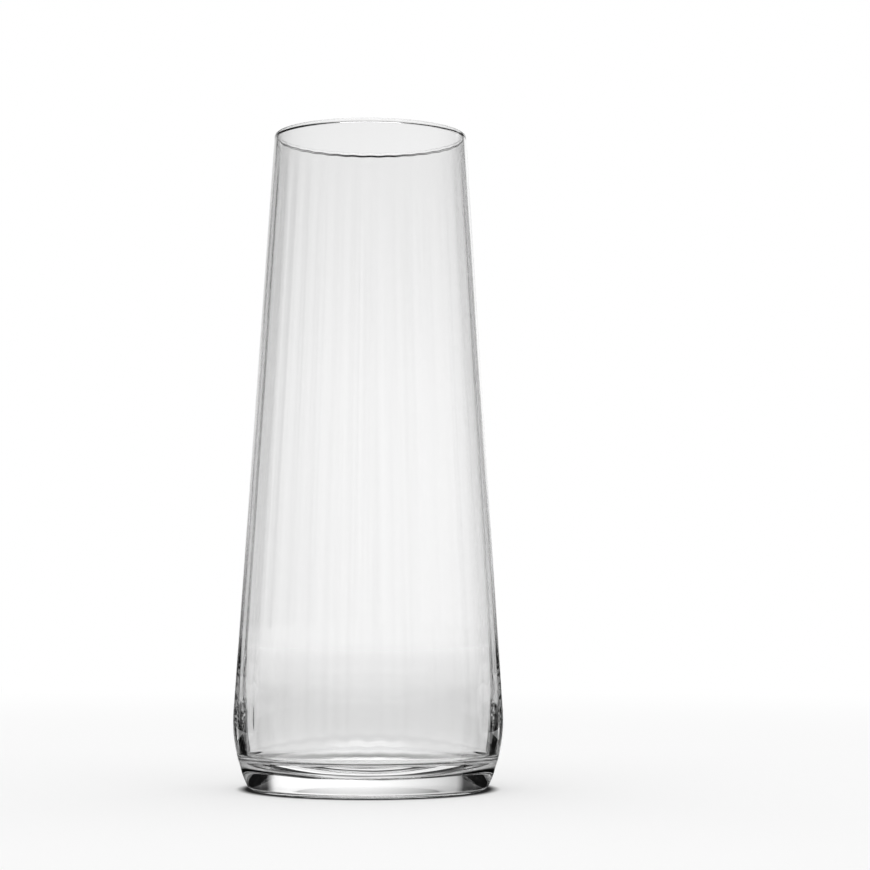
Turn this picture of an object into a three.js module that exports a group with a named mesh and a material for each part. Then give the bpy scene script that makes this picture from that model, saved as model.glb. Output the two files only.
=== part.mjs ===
// Clear glass carafe: one glass body without handle, spout or lid, that tapers from a heavy foot to a wide
// mouth.
// Units are millimetres, +Z is up, and the origin is the centre of the footprint on the table.
// The glass is shaped in one piece. Its three zones are separate solids that meet face to face at level
// planes: the thick base, the ribbed body and the rounded rim.

import * as THREE from 'three';

// Overall sizes, all measured on the outside of the glass.
const HEIGHT = 240.8;
const MOUTH_DIAMETER = 71.1;
const BELLY_DIAMETER = 98.8;
const BELLY_HEIGHT = 25.1;

// Outline of the foot: the belly is an arc that bends in below its widest level and ends in a small heel.
const BELLY_ARC_RADIUS = 55;
const HEEL_RADIUS = 3.2;

// Underside: a flat ring that stands on the table, round a shallow hollow.
const STANDING_RING_WIDTH = 7.6;
const HOLLOW_DEPTH = 4.3;

// Wall: even along the taper, and thicker towards the belly, where the inside bends in on a wide arc.
const WALL_THICKNESS = 1.1;
const WALL_AT_BELLY = 3.5;
const INSIDE_ARC_RADIUS = 190;

// Inside floor: a shallow bowl with a round corner up to the wall. Its levels are heights above the table.
const FLOOR_AT_EDGE = 11.7;
const FLOOR_AT_CENTRE = 8.75;
const FLOOR_CORNER_RADIUS = 2.8;

// Rim: a fire-polished bead, flush with the wall outside and a little proud of it inside, over a fillet.
const BEAD_PROUD = 0.46;
const BEAD_FILLET = 0.7;

// Soft upright ribs on the inside of the wall, which fade out below the rim and above the floor corner.
const RIB_COUNT = 36;
const RIB_HEIGHT = 0.04;
const RIB_FADE_AT_RIM = 20;
const RIB_FADE_AT_FLOOR = 12;

// The base ends partway up the floor corner, and the rim starts on the plain wall below its fillet.
const BASE_ABOVE_FLOOR = 1.5;
const RIM_BELOW_FILLET = 1.15;

// Fineness of the turned shapes.
const SEGMENTS_PER_RIB = 4;
const BODY_SEGMENTS = SEGMENTS_PER_RIB * RIB_COUNT;
const PLAIN_SEGMENTS = BODY_SEGMENTS / 2;
const CORNER_STEPS = 6;
const BELOW_BELLY_STEPS = 7;
const ABOVE_BELLY_STEPS = 2;
const DISH_STEPS = 5;
const BEAD_STEPS = 4;
const FILLET_STEPS = 3;
const FADE_STEPS = 4;

// Radii and levels worked out from the sizes above.
const MOUTH_RADIUS = MOUTH_DIAMETER / 2;
const BELLY_RADIUS = BELLY_DIAMETER / 2;
const BEAD_RADIUS = (WALL_THICKNESS + BEAD_PROUD) / 2;
const BASE_TOP = FLOOR_AT_EDGE + BASE_ABOVE_FLOOR;
const QUARTER_TURN = Math.PI / 2;

// Points are { r, z, rib }: radius, height, and how much of the rib height applies there, from 0 to 1.
function point(r, z, rib = 0) {
  return { r, z, rib };
}

// The point at a distance from another, which is also a point on a circle round it. Angle 0 is outwards, and
// a quarter turn is up.
function offset(from, distance, angle) {
  return point(from.r + distance * Math.cos(angle), from.z + distance * Math.sin(angle));
}

// Points along an arc from one angle to another, both ends included.
function arc(centre, radius, from, to, steps) {
  const points = [];
  for (let i = 0; i <= steps; i += 1) {
    points.push(offset(centre, radius, THREE.MathUtils.lerp(from, to, i / steps)));
  }
  return points;
}

// Points of a shallow dish, from its middle on the axis out to its edge.
function dish(middleLevel, edge) {
  const points = [];
  for (let i = 0; i <= DISH_STEPS; i += 1) {
    const share = i / DISH_STEPS;
    points.push(point(edge.r * share, THREE.MathUtils.lerp(middleLevel, edge.z, share ** 2)));
  }
  return points;
}

// The point at a share of the way from one point to another.
function between(a, b, share) {
  const { lerp } = THREE.MathUtils;
  return point(lerp(a.r, b.r, share), lerp(a.z, b.z, share), lerp(a.rib, b.rib, share));
}

// The point of a rising outline at a level.
function atLevel(outline, level) {
  const next = Math.max(1, outline.findIndex(({ z }) => z >= level));
  const [below, above] = [outline[next - 1], outline[next]];
  return between(below, above, (level - below.z) / (above.z - below.z));
}

// The part of a rising outline that lies from one level to another, cut square at both levels.
function stretch(outline, low, high) {
  const kept = outline.filter(({ z }) => z > low && z < high);
  return [atLevel(outline, low), ...kept, atLevel(outline, high)];
}

// The angle at which a straight line from a point above touches a circle on its outer side.
function tangentAngle(centre, radius, from) {
  const dr = from.r - centre.r;
  const dz = from.z - centre.z;
  return Math.atan2(dz, dr) - Math.acos(radius / Math.hypot(dr, dz));
}

// The straight taper leaves the belly arc as a tangent on its way to the mouth. Square to the taper and
// outwards is the lean angle, and up along the taper is the rise angle.
const bellyCentre = point(BELLY_RADIUS - BELLY_ARC_RADIUS, BELLY_HEIGHT);
const mouthEdge = point(MOUTH_RADIUS, HEIGHT);
const lean = tangentAngle(bellyCentre, BELLY_ARC_RADIUS, mouthEdge);
const rise = lean + QUARTER_TURN;

// Centre of the inside's wide arc, which touches the inside of the taper and leaves the wall its thickness at
// the belly.
function insideArcCentre() {
  const taperTop = offset(mouthEdge, -WALL_THICKNESS, lean);
  const dr = BELLY_RADIUS - WALL_AT_BELLY - taperTop.r;
  const dz = BELLY_HEIGHT - taperTop.z;
  const inset = -dr * Math.cos(lean) - dz * Math.sin(lean);
  const along = dr * Math.cos(rise) + dz * Math.sin(rise);
  const touch = offset(taperTop, along + Math.sqrt(2 * INSIDE_ARC_RADIUS * inset - inset ** 2), rise);
  return offset(touch, -INSIDE_ARC_RADIUS, lean);
}

// The bead touches the outside of the taper and the level of the height, and the fillet touches the bead and
// the inside of the taper.
const beadCentre = point(
  MOUTH_RADIUS + BEAD_RADIUS * Math.tan(lean) - BEAD_RADIUS / Math.cos(lean),
  HEIGHT - BEAD_RADIUS,
);
const filletInset = WALL_THICKNESS + BEAD_FILLET - BEAD_RADIUS;
const filletDrop = Math.sqrt((BEAD_RADIUS + BEAD_FILLET) ** 2 - filletInset ** 2);
const filletCentre = offset(offset(beadCentre, -filletInset, lean), -filletDrop, rise);
const filletToBead = lean + Math.atan2(filletDrop, filletInset);
const filletFoot = offset(filletCentre, BEAD_FILLET, lean);
const BODY_TOP = filletFoot.z - RIM_BELOW_FILLET;

// Outside and inside are alike: from a level floor, a corner arc runs into a wide arc, which is widest at its
// centre's level, and that runs into the taper.
function risingOutline(centre, radius, floorLevel, cornerRadius, top) {
  const cornerReach = radius - cornerRadius;
  const cornerAngle = Math.asin((floorLevel + cornerRadius - centre.z) / cornerReach);
  const cornerCentre = offset(centre, cornerReach, cornerAngle);
  const corner = arc(cornerCentre, cornerRadius, -QUARTER_TURN, cornerAngle, CORNER_STEPS);
  const below = arc(centre, radius, cornerAngle, 0, BELOW_BELLY_STEPS);
  const above = arc(centre, radius, 0, lean, ABOVE_BELLY_STEPS);
  return { outline: [...corner, ...below.slice(1), ...above.slice(1), top], cornerTop: below[0] };
}

const beadFoot = offset(beadCentre, BEAD_RADIUS, lean);
const { outline: outside } = risingOutline(bellyCentre, BELLY_ARC_RADIUS, 0, HEEL_RADIUS, beadFoot);
const { outline: plainInside, cornerTop } = risingOutline(
  insideArcCentre(), INSIDE_ARC_RADIUS, FLOOR_AT_EDGE, FLOOR_CORNER_RADIUS, filletFoot,
);

// How much of the rib height applies at a level of the inside.
const ribsFull = { from: cornerTop.z + RIB_FADE_AT_FLOOR, to: BODY_TOP - RIB_FADE_AT_RIM };

function ribShare(level) {
  const { smoothstep } = THREE.MathUtils;
  return smoothstep(level, cornerTop.z, ribsFull.from) - smoothstep(level, ribsFull.to, BODY_TOP);
}

// The inside with the ribs' share at each point, and extra points where the ribs swell and fade.
function ribbedInside() {
  const levels = [ribsFull.from];
  for (let i = 0; i < FADE_STEPS; i += 1) {
    levels.push(THREE.MathUtils.lerp(ribsFull.to, BODY_TOP, i / FADE_STEPS));
  }
  const points = [...plainInside, ...levels.map((level) => atLevel(plainInside, level))];
  return points.sort((a, b) => a.z - b.z).map(({ r, z }) => point(r, z, ribShare(z)));
}

const inside = ribbedInside();

// Outline of the base, from the centre of the underside round the heel and back to the centre of the floor.
function baseOutline() {
  const hollowEdge = point(outside[0].r - STANDING_RING_WIDTH, 0);
  return [
    ...dish(HOLLOW_DEPTH, hollowEdge),
    ...stretch(outside, 0, BASE_TOP),
    ...stretch(inside, FLOOR_AT_EDGE, BASE_TOP).reverse(),
    ...dish(FLOOR_AT_CENTRE, inside[0]).reverse().slice(1),
  ];
}

// Outline of the body, up the outside and down the ribbed inside, closed on itself.
function bodyOutline() {
  const outline = [...stretch(outside, BASE_TOP, BODY_TOP), ...stretch(inside, BASE_TOP, BODY_TOP).reverse()];
  return [...outline, outline[0]];
}

// Outline of the rim: a short strip of wall, the bead up to the top and over it, and the fillet, closed on
// itself.
function rimOutline() {
  const outerFoot = atLevel(outside, BODY_TOP);
  const innerFoot = atLevel(inside, BODY_TOP);
  return [
    outerFoot,
    ...arc(beadCentre, BEAD_RADIUS, lean, QUARTER_TURN, BEAD_STEPS),
    ...arc(beadCentre, BEAD_RADIUS, QUARTER_TURN, filletToBead + Math.PI, BEAD_STEPS).slice(1),
    ...arc(filletCentre, BEAD_FILLET, filletToBead, lean, FILLET_STEPS).slice(1),
    innerFoot,
    outerFoot,
  ];
}

// Turns an outline round the z axis, with the ribs standing in from it.
function turned(outline, segments) {
  const profile = outline.map(({ r, z }) => new THREE.Vector2(r, z));
  const geometry = new THREE.LatheGeometry(profile, segments);
  const positions = geometry.getAttribute('position');
  for (let i = 0; i < positions.count; i += 1) {
    const { r, z, rib } = outline[i % outline.length];
    const angle = (2 * Math.PI * Math.floor(i / outline.length)) / segments;
    const radius = r - rib * RIB_HEIGHT * Math.cos(RIB_COUNT * angle);
    positions.setXYZ(i, radius * Math.sin(angle), z, radius * Math.cos(angle));
  }
  geometry.rotateX(QUARTER_TURN);
  geometry.computeVertexNormals();
  return geometry;
}

function clearGlass() {
  return new THREE.MeshStandardMaterial({
    color: 0xe6ebeb,
    roughness: 0.03,
    metalness: 0,
    transparent: true,
    opacity: 0.35,
  });
}

function glassZone(name, outline, segments) {
  const mesh = new THREE.Mesh(turned(outline, segments), clearGlass());
  mesh.name = name;
  return mesh;
}

const carafe = new THREE.Group();
carafe.name = 'carafe';
carafe.add(
  glassZone('base', baseOutline(), PLAIN_SEGMENTS),
  glassZone('body', bodyOutline(), BODY_SEGMENTS),
  glassZone('rim', rimOutline(), PLAIN_SEGMENTS),
);

export default carafe;
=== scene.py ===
import math

import bmesh
import bpy
from mathutils import Matrix, Vector, noise


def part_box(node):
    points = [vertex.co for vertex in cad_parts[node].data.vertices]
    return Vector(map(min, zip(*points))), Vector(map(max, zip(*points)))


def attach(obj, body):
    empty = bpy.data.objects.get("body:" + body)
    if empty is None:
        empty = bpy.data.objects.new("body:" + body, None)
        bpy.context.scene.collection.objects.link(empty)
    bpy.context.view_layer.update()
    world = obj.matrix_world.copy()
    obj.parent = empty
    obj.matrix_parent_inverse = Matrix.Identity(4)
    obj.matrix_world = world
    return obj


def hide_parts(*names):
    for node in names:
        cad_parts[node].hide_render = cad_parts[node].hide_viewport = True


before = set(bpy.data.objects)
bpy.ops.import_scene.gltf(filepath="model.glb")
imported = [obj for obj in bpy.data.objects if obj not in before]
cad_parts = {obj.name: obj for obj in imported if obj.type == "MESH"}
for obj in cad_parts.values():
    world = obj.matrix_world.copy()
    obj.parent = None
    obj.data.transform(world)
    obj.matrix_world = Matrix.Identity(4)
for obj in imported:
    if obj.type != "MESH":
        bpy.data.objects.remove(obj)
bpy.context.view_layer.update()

MM = 0.001

# Sizes read from the solids.
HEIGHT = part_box("rim")[1].z
BELLY_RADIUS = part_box("body")[1].x
RIM_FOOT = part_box("rim")[0].z

# Sizes of the glass that the solids' boxes don't give, the same as in the part's source.
MOUTH_RADIUS = 35.55 * MM
BELLY_HEIGHT = 25.1 * MM
BELLY_ARC_RADIUS = 55 * MM
HEEL_RADIUS = 3.2 * MM
STANDING_RING_WIDTH = 7.6 * MM
HOLLOW_DEPTH = 4.3 * MM
WALL_THICKNESS = 1.1 * MM
WALL_AT_BELLY = 3.5 * MM
INSIDE_ARC_RADIUS = 190 * MM
FLOOR_AT_EDGE = 11.7 * MM
FLOOR_AT_CENTRE = 8.75 * MM
FLOOR_CORNER_RADIUS = 2.8 * MM
BEAD_PROUD = 0.46 * MM
BEAD_FILLET = 0.7 * MM
BEAD_RADIUS = (WALL_THICKNESS + BEAD_PROUD) / 2

# Soft upright ribs on the inside of the wall.
RIB_COUNT = 36
RIB_HEIGHT = 0.04 * MM
RIB_FADE_AT_RIM = 20 * MM
RIB_FADE_AT_FLOOR = 12 * MM

# Unevenness of the inside floor, as blown glass has it: waves drawn out round the axis, and a share of plain
# ones over them. They die away from a share of the floor's radius out to its edge.
FLOOR_WAVE_HEIGHT = 0.03 * MM
FLOOR_WAVE_LENGTH = 16 * MM
WAVES_ROUND = 1.2
WAVES_OUTWARDS = 2.0
PLAIN_WAVE_SHARE = 0.5
WAVE_FADE_START = 0.75

# Fineness of the turned mesh.
SEGMENTS_PER_RIB = 8
SEGMENTS = SEGMENTS_PER_RIB * RIB_COUNT
ARC_STEPS = 12
BEAD_STEPS = 24
WALL_STEPS = 60
DISH_STEPS = 30
MERGE_DISTANCE = 0.001 * MM
QUARTER_TURN = math.pi / 2

# Marks on the points of the section that the ribs and the waves move.
INSIDE_WALL = 1
INSIDE_FLOOR = 2

# Finish of the glass: faint haze, and upright draw lines much longer than they are wide, which tint the
# glass where they swell past their middle. They start above the foot between the first two levels, and fade
# below the rim between the last two.
GLASS_IOR = 1.5
HAZE_SCALE = 60.0
HAZE_ROUGHNESS = 0.004
DRAW_LINES_ROUND = 17.0
DRAW_LINES_UP = 4.0
DRAW_LINE_DEPTH = 0.035 * MM
DRAW_LINE_MIDDLE = 0.5
DRAW_LINE_TINT = 0.13
DRAW_LINE_LEVELS = (12 * MM, 30 * MM, 195 * MM, 232 * MM)

# Camera of the photograph: it stands low in front and looks a little up, and to the right of the carafe.
CAMERA_DISTANCE = 0.867
CAMERA_HEIGHT = 0.0737
CAMERA_TILT = math.radians(3.687)
CAMERA_PAN = math.radians(1.606)
CAMERA_ROLL = math.radians(-0.115)
FOCAL_LENGTH_PX = 2354.4
IMAGE_SIDE_PX = 870
SENSOR_WIDTH = 36

# Bounces that a ray of light may take, enough to pass the walls of the glass many times.
LIGHT_BOUNCES = 32
MIRROR_BOUNCES = 16

# Backdrop: a wide white card that keeps its place behind the carafe as the camera goes round.
# The ramps are the tones that the glass sees, at places up the card and across it.
CARD_BEHIND = 4.0
CARD_WIDTH = 6.0
CARD_HEIGHT = 4.4
CARD_STRENGTH = 1.06
CARD_RAMP_UP = (
    (-0.4, 1.0), (-0.1, 1.01), (0.1, 1.0), (0.65, 0.87), (0.95, 0.6), (1.2, 0.2), (1.45, 0.0),
)
CARD_RAMP_SIDE = (
    (-3.0, 0.0), (-2.5, 0.5), (-1.6, 0.7), (-1.0, 0.84), (-0.6, 0.93), (-0.3, 0.985),
    (0.0, 1.015), (0.4, 1.045), (1.0, 1.08), (1.8, 1.1), (2.5, 0.9), (3.0, 0.0),
)

# Black screens that only the glass sees: tall ones at the sides of the carafe and in front of it, and low
# ones with a strip beside the foot. They turn with the camera. Each is (x from, y from, x to, y to, height).
# The tall ones thin out to the back over their fade, and the low ones upwards.
SIDE_SCREEN = (0.2, -0.14, 0.2, 0.45, 0.7)
FRONT_SCREEN = (-0.2, -0.14, 0.2, -0.14, 0.45)
SIDE_SCREEN_FADE = (0.25, 0.38)
LOW_SCREEN = (0.0585, 0.04, 0.0757, 0.04, 0.16)
FOOT_STRIP = (0.0757, 0.04, 0.11, 0.04, 0.011)
LOW_SCREEN_FADE = (0.03, 0.16)
NET_BLACK = 0.01

# Black boards just above the floor, which only the glass sees: one on each side of the foot, and a net in
# front of the carafe that thins out towards it. Each is (x from, y from, x to, y to).
FOOT_BOARD = (0.043, -0.03, 0.12, 0.045)
FOOT_BOARD_LEVEL = 0.6 * MM
FRONT_BOARD = (-0.2, -0.14, 0.2, 0.04)
FRONT_BOARD_LEVEL = 0.4 * MM
FRONT_BOARD_FADE = (0.15, 0.06)

# White card close behind the mouth, which only the glass sees and which lights the near edge of the rim.
# It is given as the screens are, and its foot is a level of its own. The ramp is how solid it is across.
RIM_CARD = (-0.045, 0.1, 0.19, 0.1, 0.337)
RIM_CARD_FOOT = 0.283
RIM_CARD_RAMP = ((RIM_CARD[0], 0.0), (-0.022, 1.0), (0.17, 1.0), (RIM_CARD[2], 0.0))
RIM_CARD_STRENGTH = 1.0

# Floor: it takes the shadow near the carafe and runs out into white over the fade. Near the carafe a share of
# it glows, painted light that keeps the shadow light. The ramp is the tone of that glow which the glass sees,
# by
# distance: painted light under the carafe, painted shade a little way out, and it ends as bright as the card
# behind.
FLOOR_SIZE = 24.0
FLOOR_COLOUR = 0.9
FLOOR_ROUGHNESS = 0.9
FLOOR_FADE = (0.1, 0.85)
PAINTED_FLOOR_GLOW = 0.5
FLOOR_RAMP = (
    (0.0, 1.0), (0.06, 1.0), (0.12, 0.7), (0.19, 0.74), (0.22, 0.82), (0.26, 0.91), (0.34, 0.97),
    (0.46, 0.99), (0.8, 1.03), (1.5, 1.06),
)

# Painted shade on the floor under the heel, a contact shadow put into the floor's colour and its glow: full
# between the middle two radii, and gone at the outer two.
PAINTED_CONTACT_SHADE = 0.97
PAINTED_CONTACT_RADII = (0.037, 0.0405, 0.044, 0.049)

# Overhead lamp and dim room.
LAMP_HEIGHT = 1.45
LAMP_SIZE = 1.9
LAMP_RADIANCE = 2.75
ROOM_GREY = 0.03


def offset(start, distance, angle):
    """The place at a distance from another. Angle 0 is outwards from the axis, a quarter turn is up."""
    return (start[0] + distance * math.cos(angle), start[1] + distance * math.sin(angle))


def arc(centre, radius, start, end, steps=ARC_STEPS):
    return [offset(centre, radius, start + (end - start) * i / steps) for i in range(steps + 1)]


def line(a, b, steps):
    return [(a[0] + (b[0] - a[0]) * i / steps, a[1] + (b[1] - a[1]) * i / steps) for i in range(steps + 1)]


def dish(middle_level, edge):
    """Shallow dish from its middle on the axis out to its edge."""
    shares = [i / DISH_STEPS for i in range(DISH_STEPS + 1)]
    return [(edge[0] * share, middle_level + (edge[1] - middle_level) * share ** 2) for share in shares]


def smoothstep(value, low, high):
    share = min(1.0, max(0.0, (value - low) / (high - low)))
    return share * share * (3 - 2 * share)


def corner_and_arc(centre, radius, floor_level, corner, lean):
    """From a level floor, a corner arc that runs into a wide arc, up to where the straight taper starts."""
    reach = radius - corner
    corner_angle = math.asin((floor_level + corner - centre[1]) / reach)
    corner_points = arc(offset(centre, reach, corner_angle), corner, -QUARTER_TURN, corner_angle)
    return corner_points + arc(centre, radius, corner_angle, lean)[1:]


def inside_arc_centre(lean):
    """Centre of the inside's wide arc, which touches the taper's inside and leaves the belly its wall."""
    taper_top = offset((MOUTH_RADIUS, HEIGHT), -WALL_THICKNESS, lean)
    dr = BELLY_RADIUS - WALL_AT_BELLY - taper_top[0]
    dz = BELLY_HEIGHT - taper_top[1]
    inset = -dr * math.cos(lean) - dz * math.sin(lean)
    along = dz * math.cos(lean) - dr * math.sin(lean)
    touch = along + math.sqrt(2 * INSIDE_ARC_RADIUS * inset - inset ** 2)
    return offset(offset(taper_top, touch, lean + QUARTER_TURN), -INSIDE_ARC_RADIUS, lean)


def rim_outline(lean):
    """Bead flush with the outside of the wall and proud of the inside, then the fillet below it."""
    bead = (MOUTH_RADIUS + BEAD_RADIUS * (math.tan(lean) - 1 / math.cos(lean)), HEIGHT - BEAD_RADIUS)
    inset = WALL_THICKNESS + BEAD_FILLET - BEAD_RADIUS
    drop = math.sqrt((BEAD_RADIUS + BEAD_FILLET) ** 2 - inset ** 2)
    fillet = offset(offset(bead, -inset, lean), -drop, lean + QUARTER_TURN)
    to_bead = lean + math.atan2(drop, inset)
    bead_arc = arc(bead, BEAD_RADIUS, lean, to_bead + math.pi, BEAD_STEPS)
    return bead_arc + arc(fillet, BEAD_FILLET, to_bead, lean)[1:]


def glass_outline():
    """Section of the glass from axis to axis: underside, outside and rim, then inside wall, then floor."""
    belly = (BELLY_RADIUS - BELLY_ARC_RADIUS, BELLY_HEIGHT)
    dr, dz = MOUTH_RADIUS - belly[0], HEIGHT - belly[1]
    lean = math.atan2(dz, dr) - math.acos(BELLY_ARC_RADIUS / math.hypot(dr, dz))
    outside = corner_and_arc(belly, BELLY_ARC_RADIUS, 0.0, HEEL_RADIUS, lean)
    inside_centre = inside_arc_centre(lean)
    inside = corner_and_arc(inside_centre, INSIDE_ARC_RADIUS, FLOOR_AT_EDGE, FLOOR_CORNER_RADIUS, lean)
    rim = rim_outline(lean)
    outside += line(outside[-1], rim[0], WALL_STEPS)[1:-1]
    wall = inside + line(inside[-1], rim[-1], WALL_STEPS)[1:-1]
    underside = dish(HOLLOW_DEPTH, (outside[0][0] - STANDING_RING_WIDTH, 0.0))
    floor = dish(FLOOR_AT_CENTRE, inside[0])[:-1]
    return underside + outside + rim, wall[::-1], floor[::-1]


def floor_wave(co, reach):
    """Height of the inside floor's unevenness at a place, gone at the edge of the floor."""
    radius = math.hypot(co.x, co.y)
    angle = math.atan2(co.x, -co.y)
    outwards = radius / FLOOR_WAVE_LENGTH * WAVES_OUTWARDS
    place = Vector((math.cos(angle) * WAVES_ROUND, math.sin(angle) * WAVES_ROUND, outwards))
    wave = noise.noise(place) + PLAIN_WAVE_SHARE * noise.noise(co / FLOOR_WAVE_LENGTH)
    return FLOOR_WAVE_HEIGHT * wave * (1 - smoothstep(radius, WAVE_FADE_START * reach, reach))


def rib_scale(co):
    """How far a place on the inside wall is drawn in towards the axis by the ribs, as a factor."""
    corner_top = FLOOR_AT_EDGE + FLOOR_CORNER_RADIUS
    rib = smoothstep(co.z, corner_top, corner_top + RIB_FADE_AT_FLOOR)
    rib -= smoothstep(co.z, RIM_FOOT - RIB_FADE_AT_RIM, RIM_FOOT)
    angle = math.atan2(co.x, -co.y)
    return 1 - RIB_HEIGHT * rib * math.cos(RIB_COUNT * angle) / math.hypot(co.x, co.y)


def mesh_object(name, bm, material):
    """Object in the scene from a finished mesh and its one material."""
    mesh = bpy.data.meshes.new(name)
    bm.to_mesh(mesh)
    bm.free()
    mesh.materials.append(material)
    obj = bpy.data.objects.new(name, mesh)
    bpy.context.scene.collection.objects.link(obj)
    return obj


def make_glass():
    """The carafe: its section turned about the axis, with ribs and waves moved into the inside."""
    outer, wall, floor = glass_outline()
    bm = bmesh.new()
    zone = bm.verts.layers.int.new("zone")
    verts = [bm.verts.new((r, 0.0, z)) for r, z in outer + wall + floor]
    for v in verts[len(outer):]:
        v[zone] = INSIDE_WALL
    for v in verts[len(outer) + len(wall):]:
        v[zone] = INSIDE_FLOOR
    section = verts + [bm.edges.new(pair) for pair in zip(verts, verts[1:])]
    bmesh.ops.spin(
        bm, geom=section, cent=(0, 0, 0), axis=(0, 0, 1), angle=2 * math.pi, steps=SEGMENTS, use_merge=True,
    )
    bmesh.ops.remove_doubles(bm, verts=bm.verts, dist=MERGE_DISTANCE)
    bmesh.ops.recalc_face_normals(bm, faces=bm.faces)
    for v in bm.verts:
        if v[zone] == INSIDE_WALL:
            v.co.xy *= rib_scale(v.co)
        elif v[zone] == INSIDE_FLOOR:
            v.co.z += floor_wave(v.co, floor[0][0])
    glass = mesh_object("carafe_glass", bm, clear_glass())
    glass.data.shade_smooth()
    return glass


def new_material(name):
    mat = bpy.data.materials.new(name)
    mat.use_nodes = True
    return mat, mat.node_tree


def feed(nt, socket, value):
    """Sets a socket to a plain value, or links it to another socket."""
    if isinstance(value, (int, float, tuple)):
        socket.default_value = value
    else:
        nt.links.new(value, socket)


def wire(nt, node, values):
    """Feeds a node's first inputs in turn, and gives its first output."""
    for socket, value in zip(node.inputs, values):
        feed(nt, socket, value)
    return node.outputs[0]


def math_node(nt, operation, *values):
    node = nt.nodes.new("ShaderNodeMath")
    node.operation = operation
    return wire(nt, node, values)


def vector_node(nt, operation, *values):
    node = nt.nodes.new("ShaderNodeVectorMath")
    node.operation = operation
    return wire(nt, node, values)


def object_place(nt):
    return nt.nodes.new("ShaderNodeTexCoord").outputs["Object"]


def axis_of(nt, vector, axis):
    split = nt.nodes.new("ShaderNodeSeparateXYZ")
    wire(nt, split, (vector,))
    return split.outputs[axis]


def length_of(nt, vector):
    length = nt.nodes.new("ShaderNodeVectorMath")
    length.operation = "LENGTH"
    wire(nt, length, (vector,))
    return length.outputs["Value"]


def noise_at(nt, place, scale):
    node = nt.nodes.new("ShaderNodeTexNoise")
    feed(nt, node.inputs["Vector"], place)
    feed(nt, node.inputs["Scale"], scale)
    return node.outputs["Fac"]


def fade(nt, value, span):
    """1 before the first end of the span and 0 past the second, with a soft step between. It may run down."""
    node = nt.nodes.new("ShaderNodeMapRange")
    node.interpolation_type = "SMOOTHSTEP"
    return wire(nt, node, (value, *span, 1.0, 0.0))


def tone_ramp(nt, value, stops):
    """Tone along a length, from stops of place and tone."""
    low, high = stops[0][0], stops[-1][0]
    ramp = nt.nodes.new("ShaderNodeValToRGB")
    while len(ramp.color_ramp.elements) < len(stops):
        ramp.color_ramp.elements.new(0.5)
    for stop, (place, tone) in zip(ramp.color_ramp.elements, stops):
        stop.position = (place - low) / (high - low)
        stop.color = (tone, tone, tone, 1)
    share = math_node(nt, "DIVIDE", math_node(nt, "SUBTRACT", value, low), high - low)
    return wire(nt, ramp, (share,))


def glow(nt, strength):
    emit = nt.nodes.new("ShaderNodeEmission")
    feed(nt, emit.inputs["Strength"], strength)
    return emit.outputs["Emission"]


def see_through(nt):
    return nt.nodes.new("ShaderNodeBsdfTransparent").outputs["BSDF"]


def mix_shaders(nt, share, first, second):
    """The first shader where the share is 0, and the second where it is 1."""
    return wire(nt, nt.nodes.new("ShaderNodeMixShader"), (share, first, second))


def surface(nt, shader):
    nt.links.new(shader, nt.nodes["Material Output"].inputs["Surface"])


def white_for_camera(nt, tone):
    """White where the camera sees a surface itself, and the tone where the glass shows it."""
    camera_ray = nt.nodes.new("ShaderNodeLightPath").outputs["Is Camera Ray"]
    return math_node(nt, "MULTIPLY_ADD", tone, math_node(nt, "SUBTRACT", 1.0, camera_ray), camera_ray)


def clear_glass():
    """Clear glass with faint draw lines from the blowing, and a trace of haze that comes and goes."""
    mat, nt = new_material("clear_glass")
    bsdf = nt.nodes["Principled BSDF"]
    bsdf.inputs["Transmission Weight"].default_value = 1.0
    bsdf.inputs["IOR"].default_value = GLASS_IOR
    place = object_place(nt)
    haze = noise_at(nt, place, HAZE_SCALE)
    feed(nt, bsdf.inputs["Roughness"], math_node(nt, "MULTIPLY", haze, HAZE_ROUGHNESS))
    round_axis = vector_node(nt, "NORMALIZE", vector_node(nt, "MULTIPLY", place, (1, 1, 0)))
    up = vector_node(nt, "MULTIPLY", place, (0, 0, DRAW_LINES_UP))
    drawn_out = vector_node(nt, "MULTIPLY_ADD", round_axis, (DRAW_LINES_ROUND, DRAW_LINES_ROUND, 0), up)
    draw_lines = noise_at(nt, drawn_out, 1.0)
    level = axis_of(nt, place, "Z")
    below_rim = fade(nt, level, DRAW_LINE_LEVELS[2:])
    on_foot = fade(nt, level, DRAW_LINE_LEVELS[:2])
    on_wall = math_node(nt, "SUBTRACT", below_rim, on_foot)
    bump = nt.nodes.new("ShaderNodeBump")
    feed(nt, bump.inputs["Distance"], DRAW_LINE_DEPTH)
    feed(nt, bump.inputs["Height"], draw_lines)
    feed(nt, bump.inputs["Strength"], on_wall)
    feed(nt, bsdf.inputs["Normal"], bump.outputs["Normal"])
    crest = math_node(nt, "MAXIMUM", math_node(nt, "SUBTRACT", draw_lines, DRAW_LINE_MIDDLE), 0.0)
    streak = math_node(nt, "MULTIPLY", crest, on_wall)
    feed(nt, bsdf.inputs["Base Color"], math_node(nt, "MULTIPLY_ADD", streak, -DRAW_LINE_TINT, 1.0))
    return mat


def card_material():
    """White for the camera. For the glass, a wide patch of light that fades out upwards and to the sides."""
    mat, nt = new_material("backdrop_white")
    nt.nodes.remove(nt.nodes["Principled BSDF"])
    place = object_place(nt)
    up = tone_ramp(nt, axis_of(nt, place, "Y"), CARD_RAMP_UP)
    side = tone_ramp(nt, axis_of(nt, place, "X"), CARD_RAMP_SIDE)
    patch = math_node(nt, "MULTIPLY", math_node(nt, "MULTIPLY", up, side), CARD_STRENGTH)
    surface(nt, glow(nt, white_for_camera(nt, patch)))
    return mat


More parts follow.
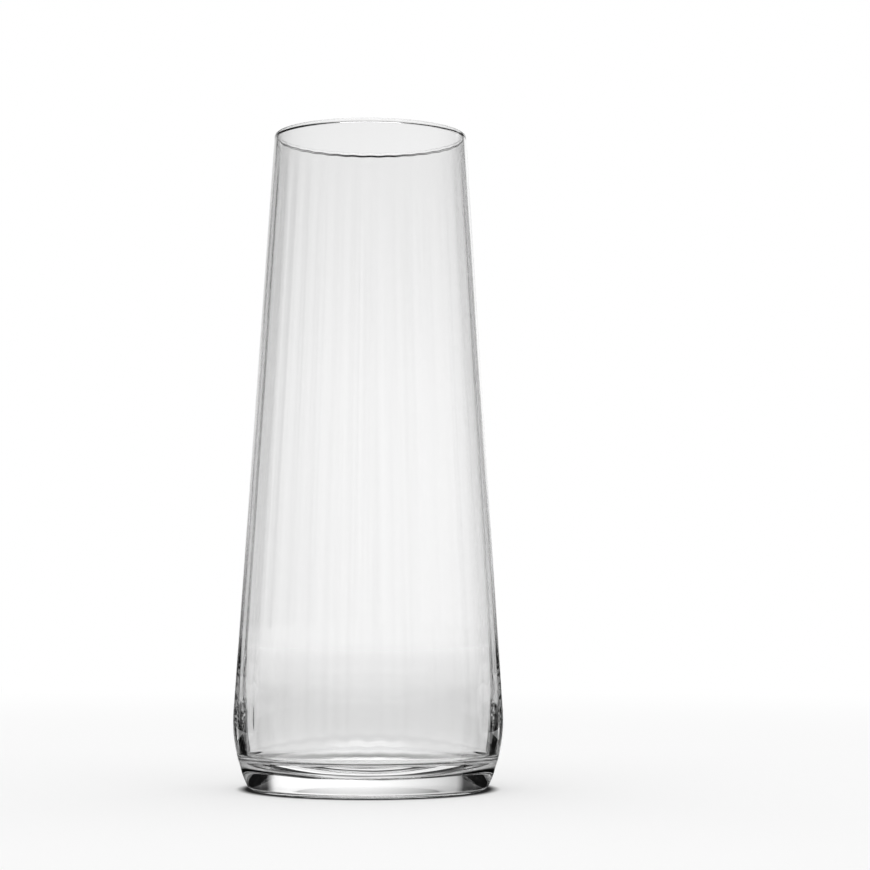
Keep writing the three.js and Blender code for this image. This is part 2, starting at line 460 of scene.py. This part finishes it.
def floor_material():
    """Pale matt floor that runs out into white away from the carafe, with a painted contact shadow under the
    heel.
    """
    mat, nt = new_material("floor_pale")
    bsdf = nt.nodes["Principled BSDF"]
    bsdf.inputs["Roughness"].default_value = FLOOR_ROUGHNESS
    bsdf.inputs["Specular IOR Level"].default_value = 0.0
    distance = length_of(nt, object_place(nt))
    # Painted shade: a dark ring under the heel, taken off the floor's colour and off its glow.
    up_to_heel = fade(nt, distance, PAINTED_CONTACT_RADII[2:])
    inside_heel = fade(nt, distance, PAINTED_CONTACT_RADII[:2])
    painted_shade = math_node(nt, "SUBTRACT", up_to_heel, inside_heel)
    tone = math_node(nt, "MULTIPLY_ADD", painted_shade, -FLOOR_COLOUR * PAINTED_CONTACT_SHADE, FLOOR_COLOUR)
    feed(nt, bsdf.inputs["Base Color"], tone)
    unshaded = math_node(nt, "MULTIPLY_ADD", painted_shade, -PAINTED_CONTACT_SHADE, 1.0)
    # Painted light and shade: for the glass the glow follows the ramp by distance, and near the carafe a
    # share of it lightens the shadow.
    seen_tone = white_for_camera(nt, tone_ramp(nt, distance, FLOOR_RAMP))
    glowing = glow(nt, math_node(nt, "MULTIPLY", seen_tone, unshaded))
    matt_share = math_node(nt, "MULTIPLY", fade(nt, distance, FLOOR_FADE), 1 - PAINTED_FLOOR_GLOW)
    surface(nt, mix_shaders(nt, matt_share, glowing, bsdf.outputs["BSDF"]))
    return mat


def black_net(name, axis, span):
    """Black net that thins out to nothing over a span, along one axis or by distance where axis is None."""
    mat, nt = new_material(name)
    bsdf = nt.nodes["Principled BSDF"]
    bsdf.inputs["Base Color"].default_value = (NET_BLACK, NET_BLACK, NET_BLACK, 1)
    bsdf.inputs["Roughness"].default_value = 1.0
    bsdf.inputs["Specular IOR Level"].default_value = 0.0
    place = object_place(nt)
    measure = axis_of(nt, place, axis) if axis else length_of(nt, place)
    surface(nt, mix_shaders(nt, fade(nt, measure, span), see_through(nt), bsdf.outputs["BSDF"]))
    return mat


def rim_card_material():
    """White light that thins out to both sides."""
    mat, nt = new_material("rim_card_white")
    nt.nodes.remove(nt.nodes["Principled BSDF"])
    solid = tone_ramp(nt, axis_of(nt, object_place(nt), "X"), RIM_CARD_RAMP)
    surface(nt, mix_shaders(nt, solid, see_through(nt), glow(nt, RIM_CARD_STRENGTH)))
    return mat


def rectangle(bm, x_from, y_from, x_to, y_to, level=0.0):
    """Level rectangle, spread from a unit square."""
    middle = Matrix.Translation(((x_from + x_to) / 2, (y_from + y_to) / 2, level))
    spread = Matrix.Diagonal((x_to - x_from, y_to - y_from, 1, 1))
    bmesh.ops.create_grid(bm, x_segments=1, y_segments=1, size=0.5, matrix=middle @ spread)


def panel(name, width, height, material):
    """Flat panel round the origin."""
    bm = bmesh.new()
    rectangle(bm, -width / 2, -height / 2, width / 2, height / 2)
    obj = mesh_object(name, bm, material)
    return obj


def place_screens(name, bm, material, cam):
    """Puts screens in the scene where only the glass sees them, turned with the camera."""
    obj = mesh_object(name, bm, material)
    obj.visible_camera = False
    obj.visible_diffuse = False
    obj.visible_shadow = False
    turn = obj.constraints.new("LOCKED_TRACK")
    turn.target = cam
    turn.track_axis = "TRACK_NEGATIVE_Y"
    turn.lock_axis = "LOCK_Z"


def upright_screens(name, outlines, material, cam, foot_level=0.0):
    """Upright screens in one mesh, each raised from the line of its foot."""
    bm = bmesh.new()
    for x_from, y_from, x_to, y_to, height in outlines:
        foot = [bm.verts.new((x_from, y_from, foot_level)), bm.verts.new((x_to, y_to, foot_level))]
        made = bmesh.ops.extrude_edge_only(bm, edges=[bm.edges.new(foot)])["geom"]
        top = [v for v in made if isinstance(v, bmesh.types.BMVert)]
        bmesh.ops.translate(bm, verts=top, vec=(0, 0, height))
    place_screens(name, bm, material, cam)


def flat_boards(name, outlines, level, material, cam):
    """Boards that lie just above the floor, in one mesh."""
    bm = bmesh.new()
    for outline in outlines:
        rectangle(bm, *outline, level)
    place_screens(name, bm, material, cam)


def mirrored(outline):
    """The same outline on the other side of the carafe."""
    x_from, y_from, x_to, *rest = outline
    return (-x_from, y_from, -x_to, *rest)


def make_screens(cam):
    side_net = black_net("side_screen_black", "Y", SIDE_SCREEN_FADE)
    upright_screens("side_screens", [SIDE_SCREEN, mirrored(SIDE_SCREEN), FRONT_SCREEN], side_net, cam)
    low_net = black_net("low_screen_black", "Z", LOW_SCREEN_FADE)
    low_screens = [LOW_SCREEN, mirrored(LOW_SCREEN), FOOT_STRIP, mirrored(FOOT_STRIP)]
    upright_screens("low_screens", low_screens, low_net, cam)
    flat_boards("foot_boards", [FOOT_BOARD, mirrored(FOOT_BOARD)], FOOT_BOARD_LEVEL, low_net, cam)
    front_net = black_net("front_board_black", None, FRONT_BOARD_FADE)
    flat_boards("front_board", [FRONT_BOARD], FRONT_BOARD_LEVEL, front_net, cam)
    upright_screens("rim_card", [RIM_CARD], rim_card_material(), cam, RIM_CARD_FOOT)


def make_camera():
    data = bpy.data.cameras.new("camera")
    data.sensor_width = SENSOR_WIDTH
    data.lens = SENSOR_WIDTH * FOCAL_LENGTH_PX / IMAGE_SIDE_PX
    cam = bpy.data.objects.new("camera", data)
    bpy.context.scene.collection.objects.link(cam)
    cam.location = (0, -CAMERA_DISTANCE, CAMERA_HEIGHT)
    cam.rotation_euler = (QUARTER_TURN + CAMERA_TILT, CAMERA_ROLL, -CAMERA_PAN)
    bpy.context.scene.camera = cam
    return cam


def make_backdrop(cam):
    card = panel("backdrop_card", CARD_WIDTH, CARD_HEIGHT, card_material())
    card.parent = cam
    card.location = (0, 0, -CAMERA_DISTANCE - CARD_BEHIND)


def make_light():
    data = bpy.data.lights.new("softbox", "AREA")
    data.shape = "SQUARE"
    data.size = LAMP_SIZE
    data.energy = LAMP_RADIANCE * math.pi * LAMP_SIZE ** 2
    lamp = bpy.data.objects.new("softbox", data)
    lamp.location = (0, 0, LAMP_HEIGHT)
    bpy.context.scene.collection.objects.link(lamp)
    world = bpy.data.worlds.new("room")
    world.use_nodes = True
    world.node_tree.nodes["Background"].inputs["Color"].default_value = (ROOM_GREY, ROOM_GREY, ROOM_GREY, 1)
    bpy.context.scene.world = world


scene = bpy.context.scene
scene.view_settings.view_transform = "Standard"
scene.cycles.max_bounces = LIGHT_BOUNCES
scene.cycles.transmission_bounces = LIGHT_BOUNCES
scene.cycles.glossy_bounces = MIRROR_BOUNCES

camera = make_camera()
panel("floor", FLOOR_SIZE, FLOOR_SIZE, floor_material())
make_backdrop(camera)
make_screens(camera)
make_light()
glass = make_glass()
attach(glass, "root")
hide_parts("base", "body", "rim")
